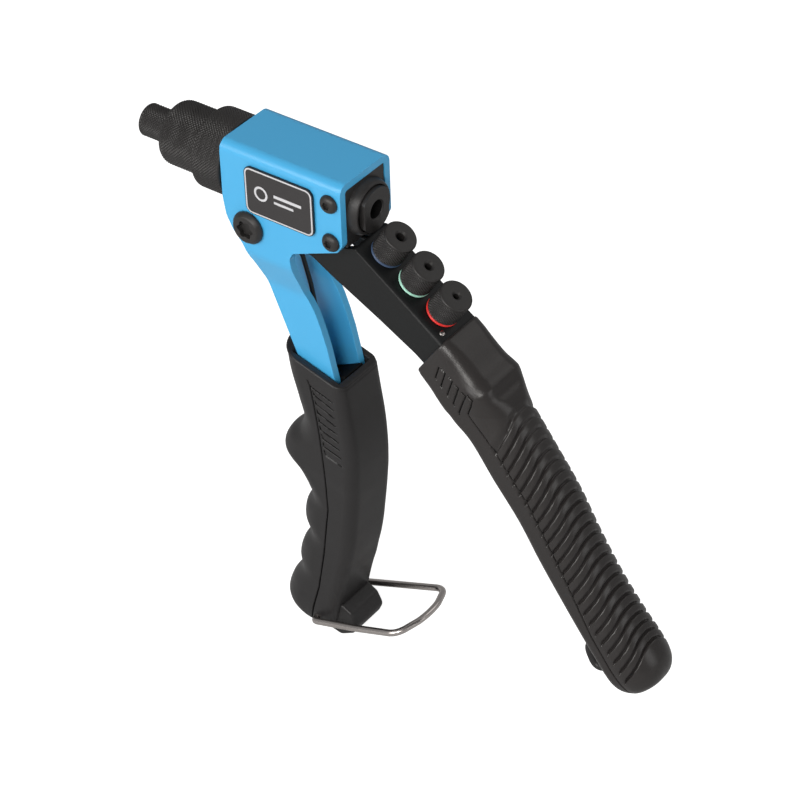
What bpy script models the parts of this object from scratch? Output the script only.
"""Hand riveter with four nosepieces, three of them stored on the lever.

Modelled in millimetres and scaled to metres as each piece is finished. The
barrel axis is X with the nose toward -X, Y runs across the tool with the near
side at -Y, and Z is up. X = 0 lies within the locking ring. The root empty
carries the whole tool so that its bounding box stands centred on Z = 0.

Outlines called "turned" hold (distance along the axis, radius) pairs.
"""

import math
from collections import namedtuple

import bmesh
import bpy
from mathutils import Matrix, Vector

# ---------------------------------------------------------------- dimensions
MM = 0.001
ROOT = (-75.0, 0.0, 203.0)
AXIS_X = (1, 0, 0)
AXIS_Y = (0, 1, 0)
SIDES = ((-1, "near"), (1, "far"))
THROUGH = 20.0                      # half length of cutters that run right across the tool

# folded sheet frame
HEAD_FRONT, HEAD_REAR = 7.5, 61.0
HEAD_TOP = 14.8
HEAD_HALF = 14.25                   # half width over the side plates
SHEET = 3.0
HEAD_INSIDE = HEAD_HALF - SHEET
SEAT = HEAD_HALF + 0.3              # where bolt, nut, screws and badge bear, from the centre
LEG_HALF = 8.75                     # half width over the legs below the joggle
JOGGLE_TOP, JOGGLE_LOW = -29.0, -43.0   # the plates step inward between these heights
LEG_END = -118.0
SCREWS = ((56.3, 6.8, "top"), (56.4, -9.1, "low"))      # block screws: X, Z, name

# pivot
PIVOT = (19.1, 0.0, -17.2)
PIVOT_R = 4.0
PIVOT_BORE = PIVOT_R + 0.3
BOLT_HEAD = [(SEAT, 6.5), (15.4, 6.5), (16.3, 6.1), (16.9, 5.2)]    # turned, also the nut
BOLT_HEAD_END = BOLT_HEAD[-1][0]

# nose
SLEEVE_R, RING_R, NOSE_R = 12.3, 15.4, 6.3
NOSE_X, SLEEVE_X = -38.0, -24.3     # front ends
RING_FRONT, RING_REAR = -5.7, 7.2
RING_CHAMFER = 0.9
SHELL_BORE = 10.0                   # bore of the locking ring and the sleeve
NOSE_SHANK_R = 3.4
NOSE_TALL = 12.0                    # stored nosepiece above the web
NOSE_BORES = (2.0, 1.65, 1.35, 1.1)     # fitted, then stored

# lever
FORK = (15.2, 0.0, 0.0)             # drive pin centre on the lever fork
LEVER_HALF = 9.75
LEVER_T = 2.5
WEB_START = (62.3, -12.4)           # X, Z of the top of the web at its front edge
WEB_DIR = (0.829, -0.559)           # X, Z along the web, toward the handle end
WEB_UP = (-WEB_DIR[1], WEB_DIR[0])
WEB_AXIS = (WEB_UP[0], 0, WEB_UP[1])
STORE_FIRST, STORE_PITCH = 8.35, 14.1   # stored nosepieces, along the web

# handles and bail
GRIP_GAP = 0.4                      # grip pocket beyond the metal, each side
BAIL_PIVOT = (37.4, 0.0, -196.7)
BAIL_BAR = (80.9, -180.4)           # X, Z
WIRE_R = 1.35


def on_web(along, rise=0.0):
    """X, Z of a point on the lever web."""
    return (WEB_START[0] + WEB_DIR[0] * along + WEB_UP[0] * rise,
            WEB_START[1] + WEB_DIR[1] * along + WEB_UP[1] * rise)


def web_spot(along, y):
    x, z = on_web(along)
    return (x, y, z)


STORE_AT = [web_spot(STORE_FIRST + STORE_PITCH * i, 0) for i in range(3)]
WEB_PIN_AT = web_spot(42.4, -6.4)

# ------------------------------------------------------------ measured tables
# front handle stations: front edge X/Z, back X/Z, half width
FRONT = [
    ((25.2, -68.4), (55.6, -77.0), 12.2),
    ((26.6, -77.0), (57.0, -88.0), 12.3),
    ((29.5, -88.0), (58.5, -98.0), 12.3),
    ((31.7, -98.6), (59.3, -106.4), 12.3),
    ((29.8, -105.4), (59.5, -113.2), 12.4),
    ((23.8, -111.0), (59.4, -118.0), 12.5),
    ((21.6, -116.5), (59.2, -122.5), 12.6),
    ((27.4, -123.0), (58.9, -127.8), 12.4),
    ((31.5, -129.5), (58.4, -133.0), 12.4),
    ((33.7, -135.8), (57.8, -138.8), 12.3),
    ((30.3, -142.0), (57.0, -145.0), 12.3),
    ((29.4, -148.0), (56.3, -150.5), 12.3),
    ((31.8, -156.0), (55.0, -158.0), 12.2),
    ((27.5, -163.0), (53.4, -164.5), 12.2),
    ((25.6, -169.5), (52.0, -170.5), 12.2),
    ((26.2, -176.0), (50.2, -176.5), 12.2),
    ((20.8, -184.5), (48.2, -184.5), 12.2),
    ((18.5, -192.5), (46.6, -192.0), 12.0),
    ((21.0, -198.8), (44.5, -198.8), 11.2),
    ((27.0, -203.0), (39.0, -203.0), 7.5),
]
# X/Z line between shell and finger pad
FRONT_SEAM = [(39.5, -81.5), (43.6, -97.0), (45.9, -116.8), (46.0, -137.0),
              (43.0, -161.0), (39.5, -180.0), (34.0, -199.0), (30.0, -212.0)]

# rear handle stations: inner X/Z, outer X/Z, half width, outer roundness 0..1
REAR = [
    ((88.8, -53.6), (100.7, -36.3), 11.6, 0.0),
    ((94.7, -58.6), (108.2, -42.2), 12.0, 0.0),
    ((98.4, -62.0), (114.0, -47.2), 12.6, 0.0),
    ((101.5, -64.8), (118.5, -50.3), 13.0, 0.05),
    ((102.9, -66.1), (119.8, -53.0), 13.0, 0.2),
    ((105.5, -68.6), (122.8, -55.8), 12.9, 0.6),
    ((110.4, -73.0), (127.0, -61.0), 12.5, 1.0),
    ((121.5, -87.5), (137.8, -75.8), 12.5, 1.0),
    ((132.1, -101.4), (148.5, -91.0), 12.5, 1.0),
    ((141.3, -115.6), (157.5, -107.0), 12.5, 1.0),
    ((151.0, -129.8), (167.3, -122.5), 12.5, 1.0),
    ((161.2, -143.9), (178.5, -136.3), 12.6, 1.0),
    ((167.2, -152.0), (186.0, -144.5), 12.5, 1.0),
    ((171.6, -158.2), (188.0, -150.8), 11.8, 1.0),
    ((175.2, -162.6), (187.6, -156.4), 10.4, 1.0),
    ((178.4, -165.2), (185.4, -161.6), 7.6, 1.0),
]
# X/Z line between shell and grip pad
REAR_SEAM = [(112.5, -62.0), (121.6, -72.6), (137.5, -90.8), (150.0, -111.8),
             (165.0, -138.5), (173.5, -150.5), (185.0, -164.5)]

# X/Z outline of the frame leg within the front handle: down the back, up the front
LEG = [(50.2, -76.5), (52.2, -90.0), (53.0, -104.0), (52.5, LEG_END),
       (41.0, LEG_END), (38.6, -100.0), (37.0, -85.0), (34.0, -73.0)]
# X/Z outline of the lever behind the web: down the outer edge, back up the inner one
LEVER_TAIL = [on_web(49), (111.5, -48.6), (123.0, -63.2), (145.0, -93.2), (153.0, -108.4),
              (144.6, -113.2), (135.6, -99.3), (113.9, -70.5), (103.0, -59.6),
              (93.5, -50.8), (88.0, -46.9), (72.9, -38.6)]
# X/Z outline of the lug at the foot of the front handle
LUG = [(41.0, -189.6), (47.2, -188.0), (52.0, -190.2), (54.5, -195.2),
       (52.4, -199.8), (46.6, -203.0), (40.0, -201.6), (36.5, -197.0)]

# ------------------------------------------------------------------ materials
Finish = namedtuple("Finish", "colour roughness metallic")
BLACK = (0.035, 0.035, 0.036)
DARK = (0.055, 0.055, 0.055)
PALE = (0.55, 0.54, 0.52)

FRAME_PAINT = Finish(colour=(0.085, 0.42, 0.76), roughness=0.35, metallic=0.0)
BADGE = Finish(colour=(0.06, 0.055, 0.052), roughness=0.4, metallic=0.3)
BLOCK_BLACK = Finish(colour=BLACK, roughness=0.4, metallic=0.4)
LEVER_BLACK = Finish(colour=BLACK, roughness=0.45, metallic=0.3)
FRONT_SHELL = Finish(colour=BLACK, roughness=0.55, metallic=0.0)
FRONT_PAD = Finish(colour=BLACK, roughness=0.6, metallic=0.0)
REAR_SHELL = Finish(colour=BLACK, roughness=0.5, metallic=0.0)
REAR_PAD = Finish(colour=BLACK, roughness=0.55, metallic=0.0)
LOOP_BLACK = Finish(colour=BLACK, roughness=0.4, metallic=0.0)
BARREL_STEEL = Finish(colour=DARK, roughness=0.45, metallic=0.8)
PLUG_STEEL = Finish(colour=DARK, roughness=0.4, metallic=0.7)
SCREW_STEEL = Finish(colour=DARK, roughness=0.4, metallic=0.8)
BOLT_STEEL = Finish(colour=DARK, roughness=0.35, metallic=0.8)
SLEEVE_STEEL = Finish(colour=DARK, roughness=0.5, metallic=0.7)
NOSE_STEEL = Finish(colour=DARK, roughness=0.45, metallic=0.7)
DRAW_STEEL = Finish(colour=DARK, roughness=0.35, metallic=0.9)
BRIGHT = Finish(colour=PALE, roughness=0.3, metallic=1.0)
SATIN = Finish(colour=PALE, roughness=0.35, metallic=1.0)
FITTED_RING = Finish(colour=(0.05, 0.05, 0.06), roughness=0.5, metallic=0.0)
STORED_RINGS = [Finish(colour=colour, roughness=0.4, metallic=0.0)
                for colour in ((0.06, 0.10, 0.17), (0.30, 0.75, 0.50), (0.70, 0.03, 0.03))]


def make_material(name, finish):
    material = bpy.data.materials.new(name)
    material.use_nodes = True
    shader = material.node_tree.nodes["Principled BSDF"]
    shader.inputs["Base Color"].default_value = (*finish.colour, 1.0)
    shader.inputs["Roughness"].default_value = finish.roughness
    shader.inputs["Metallic"].default_value = finish.metallic
    return material


# ---------------------------------------------------------- scene and bodies
for old in list(bpy.data.objects):
    bpy.data.objects.remove(old, do_unlink=True)
for block in (bpy.data.meshes, bpy.data.materials, bpy.data.curves):
    for item in list(block):
        block.remove(item)

collection = bpy.context.scene.collection
carriers = {}       # body name: (empty on its axis, place of the empty in mm)


def add_root():
    root = bpy.data.objects.new("riveter_origin", None)
    root.location = Vector(ROOT) * MM
    collection.objects.link(root)
    carriers["frame"] = (root, Vector((0, 0, 0)))


def add_carrier(body, place, parent="frame"):
    """Empty that stands on a joint's axis and carries the pieces of one body."""
    parent_empty, parent_place = carriers[parent]
    empty = bpy.data.objects.new(body + "_axis", None)
    empty.parent = parent_empty
    empty.location = (Vector(place) - parent_place) * MM
    collection.objects.link(empty)
    carriers[body] = (empty, Vector(place))


def add_carriers():
    add_carrier("draw", (0, 0, 0))
    add_carrier("pusher", (0, 0, 0), "draw")
    for i in range(3):
        add_carrier("jaw_%d" % (i + 1), (-13, 0, 0), "draw")
    add_carrier("sleeve", (SLEEVE_X, 0, 0))
    add_carrier("nose", (SLEEVE_X, 0, 0), "sleeve")
    add_carrier("ring", (0.9, 0, 0))
    add_carrier("lever", PIVOT)
    for i, place in enumerate(STORE_AT):
        add_carrier("store_%d" % (i + 1), place, "lever")
    add_carrier("bail", BAIL_PIVOT)


# -------------------------------------------------------------------- solids
def as_object(bm):
    """Closes up a bmesh, turns its faces outward and makes it an object."""
    bmesh.ops.remove_doubles(bm, verts=bm.verts, dist=0.0005)
    bmesh.ops.recalc_face_normals(bm, faces=bm.faces)
    if bm.calc_volume(signed=True) < 0:
        bmesh.ops.reverse_faces(bm, faces=bm.faces)
    mesh = bpy.data.meshes.new("tool")
    bm.to_mesh(mesh)
    bm.free()
    obj = bpy.data.objects.new("tool", mesh)
    collection.objects.link(obj)
    return obj


def cut(target, other, operation="DIFFERENCE"):
    """Boolean of two closed solids, worked out at once; the second is used up."""
    modifier = target.modifiers.new("cut", "BOOLEAN")
    modifier.solver = "EXACT"
    modifier.operation = operation
    modifier.object = other
    graph = bpy.context.evaluated_depsgraph_get()
    mesh = bpy.data.meshes.new_from_object(target.evaluated_get(graph))
    target.modifiers.remove(modifier)
    target.data = mesh
    bpy.data.objects.remove(other, do_unlink=True)


def settle(obj, name, body, finish, sharp_angle=35.0):
    """Names a solid, shades it, gives it its material and hands it to its body."""
    empty, place = carriers[body]
    mesh = obj.data
    mesh.transform(Matrix.Scale(MM, 4) @ Matrix.Translation(-place))
    obj.name = name
    mesh.name = name
    mesh.materials.clear()
    mesh.materials.append(make_material(name, finish))
    for polygon in mesh.polygons:
        polygon.material_index = 0
    mesh.shade_smooth()
    mesh.set_sharp_from_angle(angle=math.radians(sharp_angle))
    obj.parent = empty


def turned(outline, centre=(0, 0, 0), axis=AXIS_X, steps=28, start=0.0, sweep=360.0):
    """Solid of revolution of a closed turned outline; angles in degrees."""
    bm = bmesh.new()
    full = sweep >= 359.999
    count = steps if full else steps + 1
    along = Vector(axis).normalized()
    side = Vector((0, 0, 1)) if axis == AXIS_Y else Vector((0, 1, 0))
    other = along.cross(side)
    base = Vector(centre)
    rings = []
    for i in range(count):
        angle = math.radians(start + sweep * i / steps)
        radial = side * math.cos(angle) + other * math.sin(angle)
        rings.append([bm.verts.new(base + along * distance + radial * radius)
                      for distance, radius in outline])
    for i in range(steps):
        one, two = rings[i], rings[(i + 1) % count]
        for j in range(len(outline)):
            k = (j + 1) % len(outline)
            if outline[j][1] < 1e-6 and outline[k][1] < 1e-6:
                continue
            bm.faces.new((one[j], one[k], two[k], two[j]))
    if not full:
        bm.faces.new(rings[0])
        bm.faces.new(list(reversed(rings[-1])))
    bmesh.ops.remove_doubles(bm, verts=bm.verts, dist=0.0005)
    thin = [face for face in bm.faces if face.calc_area() < 1e-9]
    bmesh.ops.delete(bm, geom=thin, context="FACES_ONLY")
    return as_object(bm)


def rod(start, end, radius, centre, axis, steps, bore=0.0):
    """Plain cylinder, or a tube when it has a bore."""
    return turned([(start, bore), (start, radius), (end, radius), (end, bore)],
                  centre, axis, steps)


def prism(low_points, high_points):
    """Bmesh joining two matching flat outlines."""
    bm = bmesh.new()
    low = [bm.verts.new(point) for point in low_points]
    high = [bm.verts.new(point) for point in high_points]
    bm.faces.new(low)
    bm.faces.new(list(reversed(high)))
    for i in range(len(low)):
        j = (i + 1) % len(low)
        bm.faces.new((low[j], low[i], high[i], high[j]))
    return bm


def plate(outline, y_start, y_end):
    """Outline in X/Z carried across the tool."""
    return as_object(prism([(x, y_start, z) for x, z in outline],
                           [(x, y_end, z) for x, z in outline]))


def panel(outline, x_start, x_end):
    """Outline in Y/Z carried along X."""
    return as_object(prism([(x_start, y, z) for y, z in outline],
                           [(x_end, y, z) for y, z in outline]))


def loft(rings):
    """Closed skin over rings of equal count, capped at both ends."""
    bm = bmesh.new()
    rows = [[bm.verts.new(point) for point in ring] for ring in rings]
    count = len(rows[0])
    for one, two in zip(rows, rows[1:]):
        for i in range(count):
            j = (i + 1) % count
            bm.faces.new((one[i], one[j], two[j], two[i]))
    bm.faces.new(list(reversed(rows[0])))
    bm.faces.new(rows[-1])
    return as_object(bm)


def arc(centre_x, centre_z, radius, start, end, steps):
    """X/Z points of an arc; angles in degrees."""
    angles = [math.radians(start + (end - start) * i / steps) for i in range(steps + 1)]
    return [(centre_x + radius * math.cos(angle), centre_z + radius * math.sin(angle))
            for angle in angles]


def widened(outline, distance):
    """Outline pushed out along its corner bisectors, or in if negative."""
    count = len(outline)
    area = sum(outline[i][0] * outline[(i + 1) % count][1]
               - outline[(i + 1) % count][0] * outline[i][1] for i in range(count))
    sign = 1.0 if area > 0 else -1.0
    result = []
    for i in range(count):
        corner = Vector(outline[i])
        arriving = (corner - Vector(outline[i - 1])).normalized()
        leaving = (Vector(outline[(i + 1) % count]) - corner).normalized()
        normal = Vector((arriving.y, -arriving.x))
        bisector = (normal + Vector((leaving.y, -leaving.x))).normalized()
        # the floor keeps sharp corners from running far out
        scale = distance / max(0.4, bisector.dot(normal))
        moved = corner + bisector * scale * sign
        result.append((moved.x, moved.y))
    return result


def wire(path, radius, sides=8):
    """Round bar along a path of points, with rings square to the path."""
    points = [Vector(point) for point in path]
    last = len(points) - 1
    rings = []
    side = None
    for i, point in enumerate(points):
        tangent = (points[min(i + 1, last)] - points[max(i - 1, 0)]).normalized()
        if side is None:
            up = Vector((0, 0, 1))
            if abs(tangent.dot(up)) > 0.9:
                up = Vector((0, 1, 0))
            side = tangent.cross(up).normalized()
        else:
            side = (side - tangent * side.dot(tangent)).normalized()
        over = tangent.cross(side).normalized()
        # mitred rings are enlarged so the bar keeps its thickness in a bend
        bend = 1.0
        if 0 < i < last:
            arriving = (point - points[i - 1]).normalized()
            leaving = (points[i + 1] - point).normalized()
            bend = 1.0 / max(0.8, math.sqrt((1 + arriving.dot(leaving)) / 2))
        angles = [2 * math.pi * k / sides for k in range(sides)]
        rings.append([point + (side * math.cos(angle) + over * math.sin(angle)) * radius * bend
                      for angle in angles])
    return loft(rings)


def rounded(path, radius, steps):
    """Path with its inner corners turned into short bends."""
    points = [Vector(point) for point in path]
    result = [points[0]]
    for before, corner, after in zip(points, points[1:], points[2:]):
        back, ahead = before - corner, after - corner
        reach = min(radius, back.length * 0.45, ahead.length * 0.45)
        start = corner + back.normalized() * reach
        end = corner + ahead.normalized() * reach
        for k in range(steps + 1):
            t = k / steps
            result.append(start * (1 - t) ** 2 + corner * 2 * t * (1 - t) + end * t * t)
    result.append(points[-1])
    return result


# ------------------------------------------------------ barrel in the frame
def build_frame():
    """Sheet folded over the top, its side plates stepping in to form the legs."""
    corner = 3.4
    edge = ([(8.4, HEAD_TOP), (HEAD_REAR - 0.8, HEAD_TOP), (HEAD_REAR, HEAD_TOP - 0.8)]
            + arc(HEAD_REAR - corner, -9.6, corner, 0, -68, 4)
            + [(38.6, -21.4), (37.0, -22.6), (36.7, -24.6), (37.5, -29.8), (38.5, -42.3),
               (42.4, -48.6), (44.9, -55.3), (47.2, -63.0)]
            + LEG
            + [(29.7, -63.0), (25.0, -51.6), (21.9, -44.0), (18.9, -33.7), (15.4, -26.0),
               (11.3, -21.2), (8.6, -15.8), (HEAD_FRONT, -8.6), (HEAD_FRONT, HEAD_TOP - 0.9)])
    bm = prism([(x, -HEAD_HALF, z) for x, z in edge], [(x, HEAD_HALF, z) for x, z in edge])
    bmesh.ops.recalc_face_normals(bm, faces=bm.faces)
    # round the two long top edges, where the sheet is folded
    fold = []
    for line in bm.edges:
        one, two = line.verts[0].co, line.verts[1].co
        on_top = abs(one.z - HEAD_TOP) < 1e-4 and abs(two.z - HEAD_TOP) < 1e-4
        if on_top and abs(abs(one.y) - HEAD_HALF) < 1e-4 and abs(one.y - two.y) < 1e-4:
            fold.append(line)
    bmesh.ops.bevel(bm, geom=fold, offset=3.9, segments=5, profile=0.5, affect="EDGES")
    frame = as_object(bm)
    roof = HEAD_TOP - SHEET
    cut(frame, panel([(-HEAD_INSIDE, roof), (-HEAD_INSIDE, -140),
                      (HEAD_INSIDE, -140), (HEAD_INSIDE, roof)], -10, 80))
    cut(frame, rod(-THROUGH, THROUGH, PIVOT_BORE, PIVOT, AXIS_Y, 20))
    for x, z, _ in SCREWS:
        cut(frame, rod(-THROUGH, THROUGH, 2.1, (x, 0, z), AXIS_Y, 12))

    # joggle: split the plates at both heights, then draw the lower part inward
    bm = bmesh.new()
    bm.from_mesh(frame.data)
    for z in (JOGGLE_TOP, JOGGLE_LOW):
        bmesh.ops.bisect_plane(bm, geom=bm.verts[:] + bm.edges[:] + bm.faces[:],
                               plane_co=(0, 0, z), plane_no=(0, 0, 1), dist=0.0005)
    for vert in bm.verts:
        share = (JOGGLE_TOP - vert.co.z) / (JOGGLE_TOP - JOGGLE_LOW)
        share = min(1.0, max(0.0, share))
        if abs(vert.co.y) > 5:
            vert.co.y -= math.copysign((HEAD_HALF - LEG_HALF) * share, vert.co.y)
    sloped = [face for face in bm.faces
              if JOGGLE_LOW - 0.01 < face.calc_center_median().z < JOGGLE_TOP + 0.01]
    bmesh.ops.triangulate(bm, faces=sloped)
    bpy.data.objects.remove(frame, do_unlink=True)
    settle(as_object(bm), "frame", "frame", FRAME_PAINT, sharp_angle=30)


def build_barrel():
    front, bore, radius = -21.0, 8.0, 9.7
    flange_front, flange_rear, flange_r = 7.7, 9.9, 10.8
    barrel = turned([(front, bore), (front, radius), (flange_front, radius),
                     (flange_front, flange_r), (flange_rear, flange_r), (flange_rear, bore)],
                    steps=24)
    settle(barrel, "barrel_tube", "frame", BARREL_STEEL)


def build_guide_block():
    """Rear block with a round boss, and a stepped bore with a recess for the plug."""
    half = HEAD_INSIDE - 0.3
    low, top, rear = -11.9, 11.5, 60.7
    block = panel([(-half, low), (half, low), (half, top), (-half, top)], 47.5, rear)
    cut(block, turned([(58.0, 0), (58.0, 10.7), (rear, 10.7), (64.3, 9.6), (64.3, 0)]), "UNION")
    cut(block, turned([(40, 0), (40, 5.4), (52, 5.4), (52, 7.3), (61.2, 7.3), (61.2, 8.9),
                       (70, 8.9), (70, 0)]))
    for x, z, _ in SCREWS:
        for side, _ in SIDES:
            cut(block, rod(side * 7.4, side * THROUGH, 2.0, (x, 0, z), AXIS_Y, 12))
    settle(block, "rear_guide_block", "frame", BLOCK_BLACK)


def build_rear_plug():
    plug = turned([(52.6, 3.5), (52.6, 7.0), (61.6, 7.0), (61.6, 8.5), (65.2, 8.5),
                   (65.8, 7.9), (65.8, 3.5)])
    for side, _ in SIDES:
        flat, clear = side * 6.9, side * 12
        cut(plug, panel([(flat, -12), (clear, -12), (clear, 12), (flat, 12)], 62.6, 70))
    settle(plug, "rear_plug", "frame", PLUG_STEEL)


def build_block_screws():
    """Button head screws that hold the block."""
    outline = [(7.9, 0), (7.9, 1.7), (SEAT, 1.7), (SEAT, 3.6), (15.0, 3.6), (16.1, 2.9),
               (16.7, 1.7), (16.7, 1.15), (15.5, 1.15), (15.5, 0)]
    for side, side_name in SIDES:
        for x, z, level in SCREWS:
            screw = turned([(side * distance, radius) for distance, radius in outline],
                           (x, 0, z), AXIS_Y, 14)
            settle(screw, "block_screw_%s_%s" % (side_name, level), "frame", SCREW_STEEL)


# --------------------------------------------------------------------- pivot
def build_pivot():
    """Bolt with its head on the near side, nut, washers and bush."""
    bolt = turned([(-BOLT_HEAD_END, 0)]
                  + [(-distance, radius) for distance, radius in reversed(BOLT_HEAD)]
                  + [(-SEAT, PIVOT_R), (16.4, PIVOT_R), (16.4, 0)], PIVOT, AXIS_Y, 20)
    # six-lobed socket
    socket = []
    for i in range(18):
        angle = 2 * math.pi * i / 18
        radius = 2.75 + 0.45 * math.cos(6 * angle)
        socket.append((PIVOT[0] + radius * math.cos(angle), PIVOT[2] + radius * math.sin(angle)))
    cut(bolt, plate(socket, -20, -14.9))
    settle(bolt, "pivot_bolt", "frame", BOLT_STEEL)

    nut = turned([(SEAT, PIVOT_BORE)] + BOLT_HEAD + [(BOLT_HEAD_END, PIVOT_BORE)],
                 PIVOT, AXIS_Y, 24)
    settle(nut, "pivot_nut", "frame", BOLT_STEEL)
    for side, side_name in SIDES:
        washer = rod(side * 10.15, side * 10.85, 7.2, PIVOT, AXIS_Y, 20, bore=PIVOT_BORE)
        settle(washer, "pivot_washer_" + side_name, "frame", BRIGHT)
    bush = rod(-6.7, 6.7, 5.4, PIVOT, AXIS_Y, 20, bore=PIVOT_BORE)
    settle(bush, "pivot_bush", "frame", SATIN)


def build_handle_spring():
    """Coils round the bush, one leg between the frame legs, one under the lever web."""
    turns, steps_per_turn = 3.25, 12
    coil_r, pitch, first_y = 7.0, 2.6, -4.4
    path = [(37.4, -0.6, -60.0), (34.6, -0.6, -43.8)]
    for i in range(int(turns * steps_per_turn) + 1):
        angle = math.radians(-35) + 2 * math.pi * i / steps_per_turn
        path.append((PIVOT[0] + coil_r * math.cos(angle), first_y + pitch * i / steps_per_turn,
                     PIVOT[2] + coil_r * math.sin(angle)))
    path += [(58.0, 4.1, -21.0), (66.0, 4.1, -20.6)]
    settle(wire(path, 0.9, sides=5), "handle_spring", "frame", SATIN)


def build_badge():
    """Round-cornered plate on the near side."""
    corner = 3.0
    front, rear = 19.2 + corner, 49.6 - corner
    low, top = -9.8 + corner, 9.7 - corner
    outline = (arc(rear, top, corner, 90, 0, 4) + arc(rear, low, corner, 0, -90, 4)
               + arc(front, low, corner, -90, -180, 4) + arc(front, top, corner, 180, 90, 4))
    settle(plate(outline, -15.5, -SEAT), "badge_plate", "frame", BADGE)


# ---------------------------------------------------------------------- nose
def nosepiece_outline(tip, shoulder, tail, bore):
    """Turned outline of a nosepiece, chamfered at the tip, with a thinner shank."""
    chamfer = 1.0
    return [(tip, bore), (tip, NOSE_R - chamfer),
            (tip + math.copysign(chamfer, shoulder - tip), NOSE_R),
            (shoulder, NOSE_R), (shoulder, NOSE_SHANK_R), (tail, NOSE_SHANK_R), (tail, bore)]


def seal_outline(start, end):
    """Turned outline of the ring round a nosepiece shank."""
    bore, radius, chamfer = 3.9, 6.2, 0.3
    return [(start, bore), (start, radius - chamfer), (start + chamfer, radius),
            (end - chamfer, radius), (end, radius - chamfer), (end, bore)]


def build_nose():
    ring = turned([(RING_FRONT, SHELL_BORE), (RING_FRONT, RING_R - RING_CHAMFER),
                   (RING_FRONT + RING_CHAMFER, RING_R), (RING_REAR - RING_CHAMFER, RING_R),
                   (RING_REAR, RING_R - RING_CHAMFER), (RING_REAR, SHELL_BORE)])
    settle(ring, "locking_ring", "ring", SLEEVE_STEEL)

    sleeve_rear, front_wall, mouth_r = -6.0, 3.0, 3.7
    sleeve = turned([(sleeve_rear, SHELL_BORE), (sleeve_rear, SLEEVE_R),
                     (SLEEVE_X + 2.0, SLEEVE_R), (SLEEVE_X + 0.6, SLEEVE_R - 0.8),
                     (SLEEVE_X, SLEEVE_R - 2.2), (SLEEVE_X, mouth_r),
                     (SLEEVE_X + front_wall, mouth_r), (SLEEVE_X + front_wall, SHELL_BORE)],
                    steps=26)
    settle(sleeve, "front_sleeve", "sleeve", SLEEVE_STEEL)

    fitted = turned(nosepiece_outline(NOSE_X, SLEEVE_X - 1.5, -20.4, NOSE_BORES[0]), steps=24)
    settle(fitted, "fitted_nosepiece", "nose", NOSE_STEEL)
    seal = turned(seal_outline(SLEEVE_X - 1.2, SLEEVE_X - 0.3), steps=24)
    settle(seal, "fitted_ring", "nose", FITTED_RING)


def build_draw_bar():
    """Jaw case, tube and the collar that the lever fork drives."""
    case = turned([(-19.8, 4.3), (-19.8, 7.0), (-19.2, 7.6), (-3.0, 7.6), (-3.0, 6.3),
                   (-8.0, 6.3)], steps=24)
    settle(case, "jaw_case", "draw", DRAW_STEEL)
    tube = turned([(-6.4, 3.0), (-6.4, 6.0), (-2.7, 6.0), (-2.7, 4.6), (42.0, 4.6),
                   (42.0, 2.2), (5.0, 2.2), (5.0, 3.0)], steps=24)
    settle(tube, "draw_tube", "draw", BRIGHT)
    collar = turned([(11.0, 4.95), (11.0, 6.9), (12.1, 6.9), (12.1, 5.5), (18.3, 5.5),
                     (18.3, 6.9), (19.4, 6.9), (19.4, 4.95)], steps=24)
    settle(collar, "fork_collar", "draw", DRAW_STEEL)


def build_jaws():
    """Three jaws, their pusher and its spring."""
    sweep = 92
    for i in range(3):
        middle = 120.0 * i + 90.0
        jaw = turned([(-17.6, 1.3), (-17.6, 4.3), (-9.2, 5.7), (-9.2, 1.3)],
                     steps=5, start=middle - sweep / 2, sweep=sweep)
        name = "jaw_%d" % (i + 1)
        settle(jaw, name, name, BRIGHT)
    pusher = turned([(-8.7, 1.4), (-8.7, 5.2), (-7.6, 5.2), (-7.6, 2.6), (1.0, 2.6),
                     (1.0, 1.4)], steps=20)
    settle(pusher, "jaw_pusher", "pusher", BRIGHT)

    turns, steps_per_turn = 4, 8
    front, length, coil_r = 1.6, 2.9, 2.05
    steps = turns * steps_per_turn
    path = []
    for i in range(steps + 1):
        angle = 2 * math.pi * i / steps_per_turn
        path.append((front + length * i / steps,
                     coil_r * math.cos(angle), coil_r * math.sin(angle)))
    settle(wire(path, 0.3, sides=4), "jaw_spring", "draw", BRIGHT)


# --------------------------------------------------------------------- lever
def build_lever():
    """Channel from the fork, past the pivot and along the web into the rear handle."""
    edge = (arc(FORK[0], FORK[2], 4.0, 155, 15, 6)
            + [(22.5, -6.0), (27.0, -10.5), (34.0, -13.0), (46.0, -13.6), (59.2, -13.6),
               WEB_START]
            + LEVER_TAIL
            + [(59.0, -31.4), (53.5, -28.6), (46.5, -24.9), (42.6, -23.1), (38.0, -21.9),
               (30.0, -22.4)]
            + arc(PIVOT[0], PIVOT[2], 8.6, -35, -170, 8))
    lever = plate(edge, -LEVER_HALF, LEVER_HALF)
    # X/Z outline of the room between the channel walls: open ahead of the web, then below it
    under_x, under_z = on_web(0, -LEVER_T)
    room = [(-20, 60), (61.8, 60), (61.8, -13.0), (under_x + 1.2, under_z - 0.8),
            on_web(48, -LEVER_T), (109.6, -50.4), (121.0, -64.9), (142.8, -94.4),
            (151.6, -111.4), (120.0, -140.0), (60.0, -140.0), (-20, -60)]
    room_half = LEVER_HALF - LEVER_T
    cut(lever, plate(room, -room_half, room_half))
    cut(lever, rod(-THROUGH, THROUGH, PIVOT_BORE, PIVOT, AXIS_Y, 20))
    for place in STORE_AT:
        cut(lever, rod(-6, 6, 3.75, place, WEB_AXIS, 16))
    cut(lever, rod(-6, 6, 1.3, WEB_PIN_AT, WEB_AXIS, 12))
    for side, _ in SIDES:
        cut(lever, rod(side * 5, side * 15, 1.6, FORK, AXIS_Y, 12))
    settle(lever, "lever_channel", "lever", LEVER_BLACK, sharp_angle=30)


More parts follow.
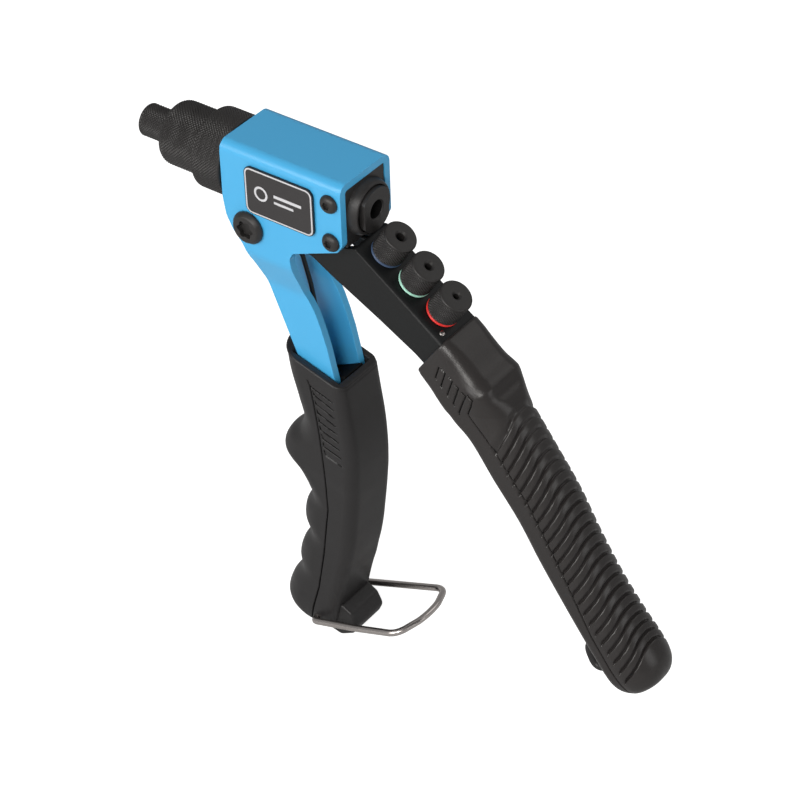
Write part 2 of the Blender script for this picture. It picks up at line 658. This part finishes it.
def build_lever_pins():
    for side, side_name in SIDES:
        pin = turned([(side * 5.85, 0), (side * 5.85, 2.5), (side * 7.0, 2.5),
                      (side * 7.0, 1.3), (side * 9.6, 1.3), (side * 9.6, 0)], FORK, AXIS_Y, 16)
        settle(pin, "fork_pin_" + side_name, "lever", BRIGHT)
    pin = turned([(-2.9, 0), (-2.9, 1.0), (0.1, 1.0), (0.3, 0.75), (0.4, 0.4), (0.4, 0)],
                 WEB_PIN_AT, WEB_AXIS, 12)
    settle(pin, "web_pin", "lever", BRIGHT)


def build_stored_nosepieces():
    """Three nosepieces standing on the web, each with its coloured ring."""
    for i, (place, bore, finish) in enumerate(zip(STORE_AT, NOSE_BORES[1:], STORED_RINGS), 1):
        body = "store_%d" % i
        piece = turned(nosepiece_outline(NOSE_TALL, 1.55, -4.5, bore), place, WEB_AXIS, 20)
        settle(piece, "stored_nosepiece_%d" % i, body, NOSE_STEEL)
        seal = turned(seal_outline(0.3, 1.25), place, WEB_AXIS, 20)
        settle(seal, "colour_ring_%d" % i, body, finish)


# ------------------------------------------------------------------- handles
def quarter(steps):
    """Sine and cosine at even steps over a right angle."""
    angles = [math.pi / 2 * k / steps for k in range(steps + 1)]
    return [(math.sin(angle), math.cos(angle)) for angle in angles]


def section(start, axis, shape):
    """Ring from half a section of (depth, half width) pairs, mirrored across the tool."""
    points = [(start.x + axis.x * depth, y, start.y + axis.y * depth) for depth, y in shape]
    near = [(x, -y, z) for x, y, z in points]
    far = [point for point in reversed(points) if point[1] > 0]
    return near + far


def front_ring(front, back, half):
    """Section of the front handle: rounded in front, flat sided, soft corners behind."""
    start = Vector(front)
    axis = Vector(back) - start
    length = axis.length
    axis.normalize()
    nose = min(0.5 * length, 11.0)
    corner = min(4.5, half * 0.45)
    shape = [(nose - nose * cos, half * sin) for sin, cos in quarter(5)]
    shape += [(length - corner + corner * sin, half - corner + corner * cos)
              for sin, cos in quarter(3)]
    return section(start, axis, shape)


def rear_ring(inner, outer, half, crown):
    """Section of the rear handle: flat strip inside, boxy or crowned outside."""
    start = Vector(inner)
    axis = Vector(outer) - start
    depth = axis.length
    axis.normalize()
    inner_r = min(3.5, depth * 0.3, half * 0.4)
    side = depth * (0.85 - 0.43 * crown)
    outer_r = min(half * (0.26 + 0.71 * crown), half - 0.2)
    shape = [(inner_r - inner_r * cos, half - inner_r + inner_r * sin)
             for sin, cos in quarter(3)]
    shape += [(side + (depth - side) * sin, half - outer_r + outer_r * cos)
              for sin, cos in quarter(5)]
    return section(start, axis, shape)


def split_pad(grip, pad_edge, kept_edge):
    """Cuts the pad's room from the grip and returns the pad, a little smaller."""
    pad = bpy.data.objects.new("pad", grip.data.copy())
    collection.objects.link(pad)
    cut(grip, plate(pad_edge, -30, 30))
    cut(pad, plate(kept_edge, -30, 30), "INTERSECT")
    return pad


def build_front_handle():
    grip = loft([front_ring(*row) for row in FRONT])
    cut(grip, plate(LUG, -8.8, 8.8), "UNION")
    leg_edge = [(30.0, -60.0)] + LEG[::-1] + [(46.5, -60.0)]
    cavity_half = LEG_HALF + GRIP_GAP
    cavity = plate(widened(leg_edge, 0.5), -cavity_half, cavity_half)
    # the moulding fills the room between the legs, up to just below the mouth
    cut(cavity, plate([(28.0, -88.2), (39.4, -82.3), (52.2, -75.6), (57.0, -73.1),
                       (57.0, -126.0), (28.0, -126.0)], -5.3, 5.3))
    cut(grip, cavity)
    cut(grip, rod(-THROUGH, THROUGH, 1.7, BAIL_PIVOT, AXIS_Y, 14))

    seam_gap, top_gap = 0.35, 0.6
    top, bottom = FRONT_SEAM[0][1], FRONT_SEAM[-1][1]
    kept_seam = [(x - seam_gap, z) for x, z in FRONT_SEAM]
    kept_seam[0] = (kept_seam[0][0], top - top_gap)
    pad = split_pad(grip, [(0.0, top)] + FRONT_SEAM + [(0.0, bottom)],
                    [(0.0, top - top_gap)] + kept_seam + [(0.0, bottom)])
    settle(grip, "front_grip_shell", "frame", FRONT_SHELL)
    settle(pad, "front_finger_pad", "frame", FRONT_PAD)


def build_rear_handle():
    grip = loft([rear_ring(*row) for row in REAR])
    pocket_half = LEVER_HALF + GRIP_GAP
    cut(grip, plate(widened([on_web(12)] + LEVER_TAIL, 0.45), -pocket_half, pocket_half))
    pad_edge = REAR_SEAM + [(220.0, -164.5), (220.0, -40.0), (130.0, -46.5)]
    pad = split_pad(grip, pad_edge, widened(pad_edge, -0.3))
    settle(grip, "rear_grip_shell", "lever", REAR_SHELL)
    settle(pad, "rear_grip_pad", "lever", REAR_PAD)


def build_latch():
    """Loop at the end of the rear handle and the wire bail on the front one."""
    loop = [(164.2, 0, -148.7), (155.4, 0, -156.8), (159.8, 0, -166.2), (171.4, 0, -158.9)]
    settle(wire(rounded(loop, 4.0, 4), 1.5), "latch_loop", "lever", LOOP_BLACK)

    pivot_x, _, pivot_z = BAIL_PIVOT
    bar_x, bar_z = BAIL_BAR
    near = [(pivot_x, -8.2, pivot_z), (pivot_x, -14.2, pivot_z),
            (bar_x - 7.6, -16.8, bar_z - 2.7), (bar_x - 1.0, -14.0, bar_z - 0.4),
            (bar_x, -9.0, bar_z)]
    far = [(x, -y, z) for x, y, z in reversed(near)]
    settle(wire(rounded(near + far, 2.6, 2), WIRE_R), "latch_bail", "bail", BRIGHT)


add_root()
add_carriers()
build_frame()
build_barrel()
build_guide_block()
build_rear_plug()
build_block_screws()
build_pivot()
build_handle_spring()
build_badge()
build_nose()
build_draw_bar()
build_jaws()
build_lever()
build_lever_pins()
build_stored_nosepieces()
build_front_handle()
build_rear_handle()
build_latch()
